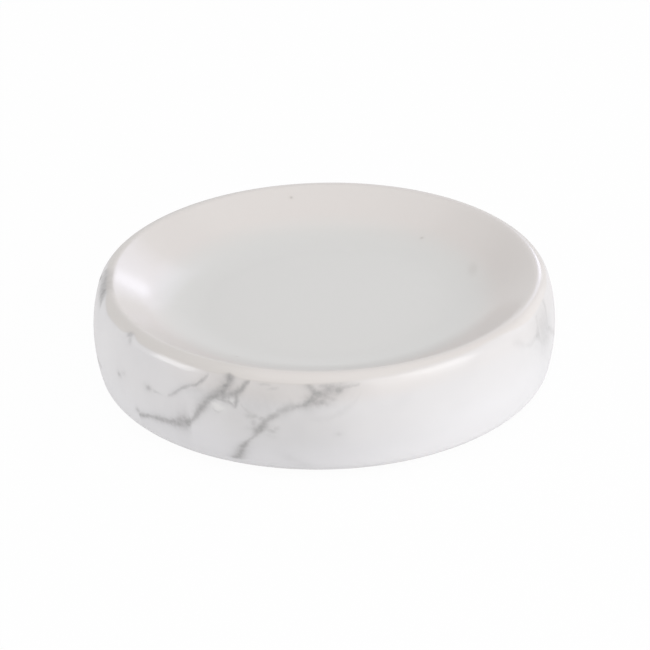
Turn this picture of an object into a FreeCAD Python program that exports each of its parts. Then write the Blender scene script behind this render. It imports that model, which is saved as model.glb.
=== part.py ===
import FreeCAD, Part
import math
import os
import Sketcher

# A round soap dish: one glazed ceramic body with a plump wall, a softly rolled rim and a shallow bowl,
# hollowed from below inside a foot ring, and four non-slip pads stuck under that ring.
# Millimetres and degrees. The origin is the middle of the circle on which the pads stand, +Z is up.

SIZES = {
    "belly_radius": (60.0, "widest radius of the wall"),
    "ceramic_height": (27.0, "foot plane to rim crest"),
    "belly_height": (13.4, "foot plane to the widest level"),
    "shoulder_round": (4.6, "outline radius where the wall turns in under the rim"),
    "crest_round": (2.2, "outline radius over the rim crest, from the shoulder into the bowl"),
    "bowl_depth": (9.0, "rim crest to bowl floor"),
    "bowl_cove": (34.0, "outline radius from the bowl floor up to its side"),
    "foot_round": (3.8, "outline radius from the wall under to the foot ring"),
    "foot_bevel": (0.8, "height of the wiped bevel between that rounding and the foot ring's flat"),
    "foot_land": (10.0, "width of the foot ring's flat, with its inner bevel"),
    "floor_thickness": (6.0, "ceramic between the bowl floor and the recess below it"),
    "recess_haunch": (4.0, "sloped corner between the recess's side and its ceiling"),
    "foot_inner_bevel": (1.2, "wiped bevel on the foot ring's inner edge"),
    "pad_radius": (3.5, "non-slip pad"),
    "pad_thickness": (1.0, "non-slip pad, and so the gap under the foot ring"),
    "shoulder_start_deg": (17.0, "lean of the wall where the shoulder starts"),
    "crest_start_deg": (62.0, "lean of the shoulder where the crest starts"),
    "bowl_side_deg": (30.0, "steepest slope of the bowl's side"),
    "foot_start_deg": (14.0, "lean of the wall where the foot's rounding starts"),
    "foot_end_deg": (60.0, "lean where that rounding ends in the bevel"),
    "recess_draft_deg": (12.0, "draft of the recess's side"),
    "first_pad_deg": (45.0, "direction of the first pad from +X"),
}
PAD_COUNT = 4
WHOLE_TURN_DEG = 360.0
SHEET_NAME = "Sizes"
FIT = 0.001  # how near an edge lies to where it is looked for


class Size:
    """A size, held both as its number and as the formula that gives it from the sheet."""

    def __init__(self, value, formula):
        self.value = float(value)
        self.formula = formula

    def joined(self, sign, other, value):
        return Size(value, f"({self.formula} {sign} {other.formula})")

    def __add__(self, other):
        return self.joined("+", other, self.value + other.value)

    def __sub__(self, other):
        return self.joined("-", other, self.value - other.value)

    def __mul__(self, other):
        return self.joined("*", other, self.value * other.value)

    def __truediv__(self, other):
        return self.joined("/", other, self.value / other.value)


def plain(number):
    """A bare number in a formula, such as the 1 of a versine."""
    return Size(number, str(number))


def sine(angle):
    return Size(math.sin(math.radians(angle.value)), f"sin({angle.formula})")


def cosine(angle):
    return Size(math.cos(math.radians(angle.value)), f"cos({angle.formula})")


def tangent(angle):
    return Size(math.tan(math.radians(angle.value)), f"tan({angle.formula})")


ONE = plain(1)
TWO = plain(2)
NOTHING = plain(0)


def make_sheet(doc):
    """Put the driving dimensions in a sheet: name, value, what it is."""
    sheet = doc.addObject("Spreadsheet::Sheet", SHEET_NAME)
    for row, (name, (value, note)) in enumerate(SIZES.items(), start=1):
        sheet.set(f"A{row}", name)
        sheet.set(f"B{row}", str(value))
        sheet.set(f"C{row}", note)
        sheet.setAlias(f"B{row}", name)
    doc.recompute()
    return sheet


class Outline:
    """A closed outline in a sketch, each point and radius tied to the sheet.

    A point is a pair of sizes, its distance from the axis and its height. It is drawn anticlockwise, so an arc
    that bulges out of the material turns left and one that hollows it turns right.
    """

    def __init__(self, sketch, start):
        self.sketch = sketch
        self.start = start
        self.at = start
        self.first_end = None
        self.last_end = None

    def tie(self, kind, places, size, label):
        index = self.sketch.addConstraint(Sketcher.Constraint(kind, *places, size.value))
        name = f"{label}_{index}"
        self.sketch.renameConstraint(index, name)
        self.sketch.setExpression(f"Constraints.{name}", size.formula)

    def place(self, end, point):
        """Tie one end of an edge to its point's distance from the axis and its height."""
        for kind, axis, size in (("DistanceX", -2, point[0]), ("DistanceY", -1, point[1])):
            if size is NOTHING:
                self.sketch.addConstraint(Sketcher.Constraint("PointOnObject", *end, axis))
            else:
                self.tie(kind, (-1, 1, *end), size, "reach" if kind == "DistanceX" else "height")

    def join(self, edge, start_side, end_side, point):
        if self.last_end is None:
            self.first_end = (edge, start_side)
            self.place(self.first_end, self.start)
        else:
            self.sketch.addConstraint(Sketcher.Constraint("Coincident", *self.last_end, edge, start_side))
        self.last_end = (edge, end_side)
        if point is self.start:
            self.sketch.addConstraint(Sketcher.Constraint("Coincident", *self.last_end, *self.first_end))
        else:
            self.place(self.last_end, point)
        self.at = point

    def line(self, point):
        ends = [FreeCAD.Vector(place[0].value, place[1].value, 0) for place in (self.at, point)]
        edge = self.sketch.addGeometry(Part.LineSegment(*ends), False)
        self.join(edge, 1, 2, point)

    def arc(self, point, centre, radius, left=True):
        middle = FreeCAD.Vector(centre[0].value, centre[1].value, 0)
        angles = [
            math.atan2(place[1].value - centre[1].value, place[0].value - centre[0].value)
            for place in ((self.at, point) if left else (point, self.at))
        ]
        circle = Part.Circle(middle, FreeCAD.Vector(0, 0, 1), radius.value)
        edge = self.sketch.addGeometry(Part.ArcOfCircle(circle, *angles), False)
        self.join(edge, 1 if left else 2, 2 if left else 1, point)
        self.tie("Radius", (edge,), radius, "round")

    def close(self):
        self.line(self.start)


def new_sketch(body, name, plane_role):
    """A sketch on one of the body's own origin planes."""
    plane = next(item for item in body.Origin.OriginFeatures if item.Role == plane_role)
    sketch = body.newObject("Sketcher::SketchObject", name)
    sketch.AttachmentSupport = [(plane, "")]
    sketch.MapMode = "FlatFace"
    return sketch


def new_body(doc, label):
    body = doc.addObject("PartDesign::Body", label)
    body.Label = label
    return body


def edge_of(feature, radius, height):
    """The feature and the name of its round edge at a radius and a height."""
    for number, edge in enumerate(feature.Shape.Edges, start=1):
        if not isinstance(edge.Curve, Part.Circle):
            continue
        centre = edge.Curve.Center
        if math.isclose(edge.Curve.Radius, radius.value, abs_tol=FIT) and abs(centre.z - height.value) < FIT:
            return (feature, [f"Edge{number}"])
    raise ValueError(f"no round edge of radius {radius.value:.3f} at height {height.value:.3f}")


def slope_off(body, name, edge, width):
    """Bevel a round edge, or fill a hollow one with a slope."""
    bevel = body.newObject("PartDesign::Chamfer", name)
    bevel.Base = edge
    bevel.Size = width.value
    bevel.setExpression("Size", width.formula)
    return bevel


class DishSection:
    """The points of the ceramic body's half section, worked out from the sheet's sizes."""

    def __init__(self, size):
        shoulder, crest = size["shoulder_start_deg"], size["crest_start_deg"]
        foot, bevel, side = size["foot_start_deg"], size["foot_end_deg"], size["bowl_side_deg"]
        rise = size["shoulder_round"] * (sine(crest) - sine(shoulder)) + size["crest_round"] * (ONE - sine(crest))
        drop = size["foot_round"] * (sine(bevel) - sine(foot)) + size["foot_bevel"]
        self.upper_bulge = (size["ceramic_height"] - size["belly_height"] - rise) / sine(shoulder)
        self.lower_bulge = (size["belly_height"] - drop) / sine(foot)

        self.belly = (size["belly_radius"], size["belly_height"])
        self.upper_centre = (size["belly_radius"] - self.upper_bulge, size["belly_height"])
        self.lower_centre = (size["belly_radius"] - self.lower_bulge, size["belly_height"])
        self.shoulder = self.on_circle(self.upper_centre, self.upper_bulge, cosine(shoulder), sine(shoulder))
        self.shoulder_centre = self.centre_of(self.shoulder, size["shoulder_round"], cosine(shoulder), sine(shoulder))
        self.crest_start = self.on_circle(self.shoulder_centre, size["shoulder_round"], cosine(crest), sine(crest))
        crest_reach = self.crest_start[0] - size["crest_round"] * cosine(crest)
        self.crest_centre = (crest_reach, size["ceramic_height"] - size["crest_round"])
        self.crest_end = self.on_circle(self.crest_centre, size["crest_round"], NOTHING - sine(side), cosine(side))

        self.floor_level = size["ceramic_height"] - size["bowl_depth"]
        side_drop = size["bowl_depth"] - (size["crest_round"] + size["bowl_cove"]) * (ONE - cosine(side))
        self.side_end = (self.crest_end[0] - side_drop / tangent(side), self.crest_end[1] - side_drop)
        floor_reach = self.side_end[0] - size["bowl_cove"] * sine(side)
        self.floor_edge = (floor_reach, self.floor_level)
        self.cove_centre = (floor_reach, self.floor_level + size["bowl_cove"])
        self.floor_middle = (NOTHING, self.floor_level)

        foot_lean = (cosine(foot), NOTHING - sine(foot))
        self.foot_start = self.on_circle(self.lower_centre, self.lower_bulge, *foot_lean)
        self.foot_centre = self.centre_of(self.foot_start, size["foot_round"], *foot_lean)
        self.foot_end = (self.foot_centre[0] + size["foot_round"] * cosine(bevel), size["foot_bevel"])
        self.land_outer = (self.foot_end[0] - size["foot_bevel"] * tangent(bevel), NOTHING)
        self.land_inner = (self.land_outer[0] - size["foot_land"], NOTHING)
        self.base_middle = (NOTHING, NOTHING)

        self.ceiling = self.floor_level - size["floor_thickness"]
        self.ceiling_edge = (self.land_inner[0] - self.ceiling * tangent(size["recess_draft_deg"]), self.ceiling)
        self.ceiling_middle = (NOTHING, self.ceiling)

    @staticmethod
    def on_circle(centre, radius, across, up):
        return (centre[0] + radius * across, centre[1] + radius * up)

    @staticmethod
    def centre_of(point, radius, across, up):
        return (point[0] - radius * across, point[1] - radius * up)


def make_dish(doc, size):
    """The ceramic body: a revolved wall and bowl, a recess turned out from below, its two edges sloped off."""
    section = DishSection(size)
    body = new_body(doc, "dish_body")

    wall = new_sketch(body, "wall_outline", "XZ_Plane")
    outline = Outline(wall, section.land_outer)
    outline.line(section.foot_end)
    outline.arc(section.foot_start, section.foot_centre, size["foot_round"])
    outline.arc(section.belly, section.lower_centre, section.lower_bulge)
    outline.arc(section.shoulder, section.upper_centre, section.upper_bulge)
    outline.arc(section.crest_start, section.shoulder_centre, size["shoulder_round"])
    outline.arc(section.crest_end, section.crest_centre, size["crest_round"])
    outline.line(section.side_end)
    outline.arc(section.floor_edge, section.cove_centre, size["bowl_cove"], left=False)
    outline.line(section.floor_middle)
    outline.line(section.base_middle)
    outline.close()
    turned = body.newObject("PartDesign::Revolution", "wall_and_bowl")
    turned.Profile = wall
    turned.ReferenceAxis = (wall, ["V_Axis"])
    turned.Angle = WHOLE_TURN_DEG
    doc.recompute()

    below = new_sketch(body, "recess_outline", "XZ_Plane")
    outline = Outline(below, section.base_middle)
    outline.line(section.land_inner)
    outline.line(section.ceiling_edge)
    outline.line(section.ceiling_middle)
    outline.close()
    recess = body.newObject("PartDesign::Groove", "recess")
    recess.Profile = below
    recess.ReferenceAxis = (below, ["V_Axis"])
    recess.Angle = WHOLE_TURN_DEG
    doc.recompute()

    haunch = slope_off(body, "recess_corner", edge_of(recess, *section.ceiling_edge), size["recess_haunch"])
    doc.recompute()
    slope_off(body, "foot_inner_edge", edge_of(haunch, *section.land_inner), size["foot_inner_bevel"])

    body.setExpression("Placement.Base.z", size["pad_thickness"].formula)
    doc.recompute()
    return body


def make_pad(doc, size, number):
    """One non-slip pad: a die-cut disc, its top against the middle of the foot ring's flat."""
    section = DishSection(size)
    body = new_body(doc, f"pad_{number}")
    face = new_sketch(body, f"pad_face_{number}", "XY_Plane")
    circle = face.addGeometry(Part.Circle(FreeCAD.Vector(0, 0, 0), FreeCAD.Vector(0, 0, 1), size["pad_radius"].value))
    face.addConstraint(Sketcher.Constraint("Coincident", circle, 3, -1, 1))
    radius = face.addConstraint(Sketcher.Constraint("Radius", circle, size["pad_radius"].value))
    face.setExpression(f"Constraints[{radius}]", size["pad_radius"].formula)
    disc = body.newObject("PartDesign::Pad", f"pad_disc_{number}")
    disc.Profile = face
    disc.setExpression("Length", size["pad_thickness"].formula)

    flat_inner = section.land_inner[0] + size["foot_inner_bevel"]
    reach = (flat_inner + section.land_outer[0]) / TWO
    direction = size["first_pad_deg"] + plain(WHOLE_TURN_DEG * (number - 1) / PAD_COUNT)
    body.setExpression("Placement.Base.x", (reach * cosine(direction)).formula)
    body.setExpression("Placement.Base.y", (reach * sine(direction)).formula)
    doc.recompute()
    return body


def check(doc, bodies):
    """Stop before anything is written if a feature failed or a sub-part is not one sound solid."""
    for item in doc.Objects:
        faults = {"Invalid", "Error"}.intersection(item.State)
        if faults:
            raise RuntimeError(f"{item.Label}: {sorted(faults)}")
        if item.TypeId == "Sketcher::SketchObject" and not item.FullyConstrained:
            raise RuntimeError(f"{item.Label}: the sketch is not fully constrained")
    for body in bodies:
        if body.Shape.isNull() or not body.Shape.isValid() or len(body.Shape.Solids) != 1:
            raise RuntimeError(f"{body.Label}: not one valid solid")


def main():
    doc = FreeCAD.newDocument("soap_dish")
    sheet = make_sheet(doc)
    size = {name: Size(sheet.get(name), f"{SHEET_NAME}.{name}") for name in SIZES}
    bodies = [make_dish(doc, size)]
    bodies += [make_pad(doc, size, number) for number in range(1, PAD_COUNT + 1)]
    check(doc, bodies)
    os.makedirs("parts", exist_ok=True)
    for body in bodies:
        body.Shape.exportStep(f"parts/{body.Label}.step")
        box = body.Shape.optimalBoundingBox(False)
        extents = " x ".join(f"{length:.2f}" for length in (box.XLength, box.YLength, box.ZLength))
        print(f"{body.Label}: {body.Shape.Volume:.0f} cubic mm, {extents} mm, from {box.ZMin:.2f} up")


main()
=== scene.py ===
"""The looks of a round soap dish: one piece of glazed ceramic with a veined print on its wall, on four pads.

The ceramic is turned from a half section of tangent arcs, as the solid is, only finer. The finishes are a
clear gloss glaze, a fired print with grey veins, the wiped foot ring, and the soft pads. Lengths are in
millimetres and become metres where a mesh or a node is made. Only the lamps and the floor are in metres.
"""

from __future__ import annotations

import logging
import math
from dataclasses import dataclass
from enum import Enum
from functools import cached_property, reduce
from typing import Any, Sequence, Union

import bpy
from mathutils import Matrix, Vector

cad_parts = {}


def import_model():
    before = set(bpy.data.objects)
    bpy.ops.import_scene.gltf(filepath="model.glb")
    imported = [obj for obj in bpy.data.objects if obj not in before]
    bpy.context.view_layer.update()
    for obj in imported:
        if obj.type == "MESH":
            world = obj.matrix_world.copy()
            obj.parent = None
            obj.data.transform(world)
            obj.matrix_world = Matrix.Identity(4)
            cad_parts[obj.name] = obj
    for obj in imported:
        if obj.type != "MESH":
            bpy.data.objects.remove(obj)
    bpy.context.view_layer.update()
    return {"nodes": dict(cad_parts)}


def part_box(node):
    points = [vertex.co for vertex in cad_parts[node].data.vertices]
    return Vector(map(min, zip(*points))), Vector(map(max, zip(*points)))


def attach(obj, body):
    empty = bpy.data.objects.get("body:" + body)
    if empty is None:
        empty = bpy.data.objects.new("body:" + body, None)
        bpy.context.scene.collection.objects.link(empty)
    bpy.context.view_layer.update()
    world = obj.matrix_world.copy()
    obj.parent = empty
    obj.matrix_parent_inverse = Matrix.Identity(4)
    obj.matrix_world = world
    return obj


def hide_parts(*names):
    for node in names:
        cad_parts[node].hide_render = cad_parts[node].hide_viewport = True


LOG = logging.getLogger("soap_dish")
METRES = 0.001
FULL_TURN = 360.0
FRONT_SHARE = 0.5
NOISE_MIDDLE = 0.5
WHITE = (1.0, 1.0, 1.0, 1.0)
ROOT = "root"

Socket = bpy.types.NodeSocket
Number = Union["Signal", float]
Colour = tuple[float, float, float]
Paint = Union[Socket, Colour]
Span = tuple[float, float]


def sine(degrees: float) -> float:
    """The sine of an angle in degrees."""
    return math.sin(math.radians(degrees))


def cosine(degrees: float) -> float:
    """The cosine of an angle in degrees."""
    return math.cos(math.radians(degrees))


def tangent(degrees: float) -> float:
    """The tangent of an angle in degrees."""
    return math.tan(math.radians(degrees))


def share_of_turn(degrees: float) -> float:
    """A direction, in degrees from the front, as a share of the whole turn from back to back."""
    return degrees / FULL_TURN + FRONT_SHARE


def short_of(whole: float, gaps: Span) -> Span:
    """The two places that fall short of a whole by two gaps."""
    return whole - gaps[0], whole - gaps[1]


class Signal:
    """A number that a material works out at each point, for sums with other signals and plain numbers."""

    def __init__(self, shader: "NodeTree", socket: Socket) -> None:
        """Hold a socket.

        Args:
            shader: the node tree that the socket belongs to.
            socket: the output that gives the number.
        """
        self.shader = shader
        self.socket = socket

    def _sum(self, operation: str, first: Number, second: Number) -> "Signal":
        """Add one Math node.

        Args:
            operation: the node's operation.
            first: its first value.
            second: its second value.

        Returns:
            The node's result.
        """
        node = self.shader.node("ShaderNodeMath", {"operation": operation}, {0: first, 1: second})
        return Signal(self.shader, node.outputs[0])

    def __add__(self, other: Number) -> "Signal":
        """This number plus another."""
        return self._sum("ADD", self, other)

    def __radd__(self, other: Number) -> "Signal":
        """Another number plus this one."""
        return self._sum("ADD", other, self)

    def __sub__(self, other: Number) -> "Signal":
        """This number less another."""
        return self._sum("SUBTRACT", self, other)

    def __rsub__(self, other: Number) -> "Signal":
        """Another number less this one."""
        return self._sum("SUBTRACT", other, self)

    def __mul__(self, other: Number) -> "Signal":
        """This number times another."""
        return self._sum("MULTIPLY", self, other)

    def __rmul__(self, other: Number) -> "Signal":
        """Another number times this one."""
        return self._sum("MULTIPLY", other, self)

    def __truediv__(self, other: Number) -> "Signal":
        """This number over another."""
        return self._sum("DIVIDE", self, other)

    def __rtruediv__(self, other: Number) -> "Signal":
        """Another number over this one."""
        return self._sum("DIVIDE", other, self)

    def __pow__(self, other: Number) -> "Signal":
        """This number to a power."""
        return self._sum("POWER", self, other)

    def __abs__(self) -> "Signal":
        """This number without its sign."""
        return self._sum("ABSOLUTE", self, 0.0)

    def greatest(self, other: Number) -> "Signal":
        """The larger of this number and another."""
        return self._sum("MAXIMUM", self, other)

    def rise(self, low: Number, high: Number) -> "Signal":
        """A smooth step of this number.

        Args:
            low: where the step is still 0.
            high: where it has reached 1; a high below low gives a falling step.

        Returns:
            The step, from 0 to 1.
        """
        node = self.shader.node(
            "ShaderNodeMapRange",
            {"interpolation_type": "SMOOTHSTEP"},
            {"Value": self, "From Min": low, "From Max": high, "To Min": 0.0, "To Max": 1.0},
        )
        return Signal(self.shader, node.outputs["Result"])


def strongest(masks: Sequence[Signal]) -> Signal:
    """The largest of several masks at each point."""
    return reduce(Signal.greatest, masks)


@dataclass(frozen=True)
class Grain:
    """A noise: its lumps' size in millimetres, how many finer layers it has, its seed, and their strength."""

    size: float
    layers: float
    seed: float
    layer_strength: float = 0.55


class Mixing(Enum):
    """How one colour goes over another."""

    COVER = "MIX"
    STAIN = "MULTIPLY"


class NodeTree:
    """The nodes of a material or of the surround, under construction."""

    def __init__(self, owner: Any) -> None:
        """Start with no nodes.

        Args:
            owner: the material or world that gets them.
        """
        owner.use_nodes = True
        self.tree = owner.node_tree
        self.tree.nodes.clear()

    def node(self, kind: str, settings: dict[str, Any], values: dict[Any, Any]) -> bpy.types.Node:
        """Add a node.

        Args:
            kind: the node's type.
            settings: its settings, set first; "stops" holds a ramp's (place, colour) pairs.
            values: for each input, by name or number, a signal, a socket, a number or a tuple.

        Returns:
            The new node.
        """
        node = self.tree.nodes.new(kind)
        for name, setting in settings.items():
            if name == "stops":
                self._fill_ramp(node.color_ramp, setting)
            else:
                setattr(node, name, setting)
        for name, value in values.items():
            self.feed(node.inputs[name], value)
        return node

    @staticmethod
    def _fill_ramp(ramp: bpy.types.ColorRamp, stops: Sequence[tuple[float, Colour]]) -> None:
        """Give a ramp its stops, with straight lines between them.

        Args:
            ramp: the ramp, with the two stops that a new one has.
            stops: a place from 0 to 1 and a colour for each, in order.
        """
        ramp.interpolation = "LINEAR"
        for _ in range(len(stops) - len(ramp.elements)):
            ramp.elements.new(1.0)
        for element, (place, colour) in zip(ramp.elements, stops):
            element.position = place
            element.color = (*colour, 1.0)

    def feed(self, socket: Socket, value: Any) -> None:
        """Link a signal or a socket to an input, or set the input's own value.

        Args:
            socket: the input.
            value: the signal or socket to link, or the value to set.
        """
        if isinstance(value, Signal):
            value = value.socket
        if isinstance(value, Socket):
            self.tree.links.new(value, socket)
        else:
            socket.default_value = value

    def signal(
        self, kind: str, settings: dict[str, Any], values: dict[Any, Any], output: Union[int, str] = 0
    ) -> Signal:
        """A new node's output as a signal."""
        return Signal(self, self.node(kind, settings, values).outputs[output])

    def seen(self) -> Signal:
        """1 for what is seen straight or mirrored in a glossy surface, and 0 for what lights the scene."""
        rays = self.node("ShaderNodeLightPath", {}, {}).outputs
        return strongest([Signal(self, rays["Is Camera Ray"]), Signal(self, rays["Is Glossy Ray"])])


class Shader(NodeTree):
    """A node material under construction, with one Principled surface."""

    def __init__(self, name: str) -> None:
        """Start an empty material.

        Args:
            name: the material's name.
        """
        self.material = bpy.data.materials.new(name)
        super().__init__(self.material)
        self.surface = self.node("ShaderNodeBsdfPrincipled", {}, {})
        self.output = self.node("ShaderNodeOutputMaterial", {}, {"Surface": self.surface.outputs["BSDF"]})

    @cached_property
    def place(self) -> Socket:
        """The point's place in the piece's own frame, in metres."""
        return self.node("ShaderNodeTexCoord", {}, {}).outputs["Object"]

    def noise(self, grain: Grain) -> bpy.types.Node:
        """Add a noise.

        Args:
            grain: which noise.

        Returns:
            The node, with a number and a colour to read.
        """
        return self.node(
            "ShaderNodeTexNoise",
            {"noise_dimensions": "4D"},
            {
                "Vector": self.place,
                "W": grain.seed,
                "Scale": 1.0 / (grain.size * METRES),
                "Detail": grain.layers,
                "Roughness": grain.layer_strength,
            },
        )

    def level(self, grain: Grain) -> Signal:
        """A noise's number at each point."""
        return Signal(self, self.noise(grain).outputs[0])

    def bump(self, relief: Signal) -> Socket:
        """The normal of a surface that is raised by so many millimetres."""
        values = {"Strength": 1.0, "Distance": METRES, "Height": relief}
        return self.node("ShaderNodeBump", {}, values).outputs["Normal"]

    def ramp(self, reading: Signal, stops: Sequence[tuple[float, Colour]]) -> list[Signal]:
        """Read three numbers from a ramp.

        Args:
            reading: the place on the ramp, from 0 to 1.
            stops: a place and three numbers for each stop, in order.

        Returns:
            The three numbers at that place.
        """
        read = self.node("ShaderNodeValToRGB", {"stops": stops}, {"Fac": reading})
        parts = self.node("ShaderNodeSeparateColor", {}, {0: read.outputs["Color"]})
        return [Signal(self, parts.outputs[index]) for index in range(3)]

    def blend(self, share: Number, first: Paint, second: Paint, how: Mixing = Mixing.COVER) -> Socket:
        """Mix two colours.

        Args:
            share: how much of the second there is.
            first: the first colour.
            second: the second colour.
            how: how the second goes over the first.

        Returns:
            The mixed colour.
        """
        below, above = (paint if isinstance(paint, Socket) else (*paint, 1.0) for paint in (first, second))
        node = self.node(
            "ShaderNodeMix",
            {"data_type": "RGBA", "blend_type": how.value, "clamp_factor": True},
            {0: share, 6: below, 7: above},
        )
        return node.outputs[2]

    def dress(self, **values: Any) -> bpy.types.Material:
        """Feed the surface and give back the material.

        Args:
            values: the surface's inputs, with underscores for the spaces in their names.

        Returns:
            The finished material.
        """
        for name, value in values.items():
            if isinstance(value, tuple):
                value = (*value, 1.0)
            self.feed(self.surface.inputs[name.replace("_", " ")], value)
        return self.material


class Run(Enum):
    """Which way a vein runs, and so which of its two places its stops are ordered by."""

    AROUND = 0
    UPRIGHT = 1


@dataclass(frozen=True)
class Stop:
    """A point of a vein: degrees from the front, millimetres up, half width in millimetres, strength."""

    around: float
    up: float
    half_width: float
    strength: float

    def beyond(self, inner: "Stop", reach: float) -> "Stop":
        """The faded end of a vein past this stop.

        Args:
            inner: the next stop inwards.
            reach: how far past this stop the vein has faded, in degrees or millimetres.

        Returns:
            The stop where nothing is left of it.
        """
        across, rise = self.around - inner.around, self.up - inner.up
        share = reach / math.hypot(across, rise)
        return Stop(self.around + across * share, self.up + rise * share, self.half_width / 2.0, 0.0)


@dataclass(frozen=True)
class Vein:
    """A vein of the print, from end to end, and how far past its ends it has faded."""

    run: Run
    stops: tuple[Stop, ...]
    fade: float = 0.9

    @classmethod
    def of(cls, run: Run, *stops: tuple[float, float, float, float]) -> "Vein":
        """A vein from plain numbers, one group for each stop."""
        return cls(run, tuple(Stop(*stop) for stop in stops))

    def faded(self) -> list[Stop]:
        """Add a faded stop past each end.

        Returns:
            All the stops, in the order of the place that the vein runs along.
        """
        first = self.stops[0].beyond(self.stops[1], self.fade)
        last = self.stops[-1].beyond(self.stops[-2], self.fade)
        whole = [first, *self.stops, last]
        return sorted(whole, key=lambda stop: stop.around if self.run is Run.AROUND else stop.up)


@dataclass(frozen=True)
class Blot:
    """A soft oval patch: its middle, its half length and half width, its tilt in degrees, and its strength.

    On the wall the middle is in degrees from the front and millimetres up. In the bowl it is in millimetres
    to the right and away from the front. The falloff is the power by which the patch fades outwards.
    """

    across: float
    up: float
    half_length: float
    half_width: float
    tilt: float
    strength: float
    falloff: float = 3.0

    def mask(self, shader: Shader, plane: Socket, across_scale: float = 1.0) -> Signal:
        """How strongly the blot shows at each point.

        Args:
            shader: the material.
            plane: the place on the wall or in the bowl, in millimetres.
            across_scale: millimetres for each unit of the blot's place across.

        Returns:
            The mask, from 0 to the blot's strength.
        """
        local = shader.node(
            "ShaderNodeMapping",
            {"vector_type": "TEXTURE"},
            {
                "Vector": plane,
                "Location": (self.across * across_scale, self.up, 0.0),
                "Rotation": (0.0, 0.0, math.radians(self.tilt)),
                "Scale": (self.half_length, self.half_width, 1.0),
            },
        )
        off = shader.signal("ShaderNodeVectorMath", {"operation": "LENGTH"}, {0: local.outputs[0]}, "Value")
        return self.strength / (1.0 + off ** self.falloff)


@dataclass(frozen=True)
class Wash:
    """A broad, soft tone on the wall, used for painted light and for a plain darkening. Each span says where
    it starts and where it is full.

    The left and right spans are degrees from the front and the height spans millimetres up. Along the lean's
    heights, the wash reaches further to the left by so many degrees.
    """

    tint: Colour
    left: Span
    right: Span
    heights: Span
    lean_heights: Span
    lean: float
    how: Mixing = Mixing.COVER

    def over(self, shader: Shader, ground: Socket, around: Signal, height: Signal) -> Socket:
        """Lay the wash over a colour.

        Args:
            shader: the material.
            ground: the colour below.
            around: degrees from the front.
            height: millimetres up.

        Returns:
            The colour with the wash on it.
        """
        leaning = around + height.rise(*self.lean_heights) * self.lean
        mask = leaning.rise(*self.left) * around.rise(*self.right) * height.rise(*self.heights)
        return shader.blend(mask, ground, self.tint, self.how)


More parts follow.
